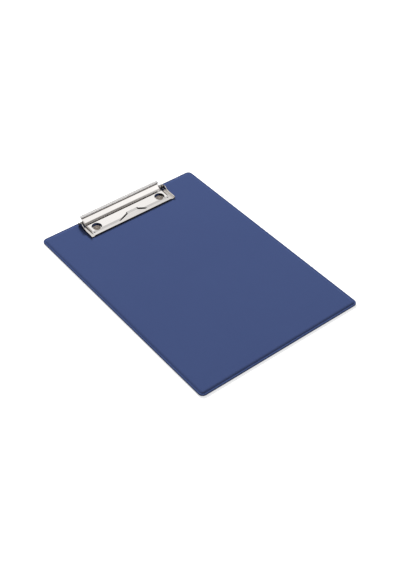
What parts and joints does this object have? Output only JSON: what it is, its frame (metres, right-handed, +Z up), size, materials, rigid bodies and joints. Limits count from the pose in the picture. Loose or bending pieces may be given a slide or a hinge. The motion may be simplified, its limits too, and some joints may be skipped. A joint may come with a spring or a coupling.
{
  "type": "clipboard",
  "caption": "Foil-covered A4 clipboard with welded edges, rounded corners and a low sprung lever clip at its head.",
  "frame": {"origin": "centre of the back face, at the bottom of the bounding box", "axes": "+Y towards the clip at the head, +X to the right as one writes on it, +Z up out of the front face"},
  "size_m": [0.23, 0.32, 0.0147],
  "materials": {
    "greyboard": "raw grey millboard",
    "front_foil": "fine-grained dark blue PVC foil",
    "back_foil": "fine-grained dark blue PVC foil",
    "base_steel": "bright nickel plate",
    "lever_steel": "bright nickel plate",
    "pin_steel": "drawn steel, nickel plated",
    "spring_wire": "drawn spring wire",
    "rivet_steel": "nickel-plated steel, formed",
    "washer_steel": "nickel-plated steel"
  },
  "bodies": {
    "board": {"core_board": "greyboard", "cover_front": "front_foil", "cover_back": "back_foil", "clip_base": "base_steel", "hinge_pin": "pin_steel", "rivet_left": "rivet_steel", "rivet_right": "rivet_steel", "washer_left": "washer_steel", "washer_right": "washer_steel"},
    "lever": {"clip_lever": "lever_steel", "spring_left": "spring_wire", "spring_right": "spring_wire"}
  },
  "joints": [
    {"name": "lever_hinge", "type": "hinge", "parent": "board", "child": "lever", "pos_m": [0, 0.1533, 0.0053], "axis": [-1, 0, 0], "range_deg": [0, 50], "stiffness_Nm_per_rad": 0.3, "springref_deg": -80.21, "deforming": ["spring_left", "spring_right"]}
  ]
}
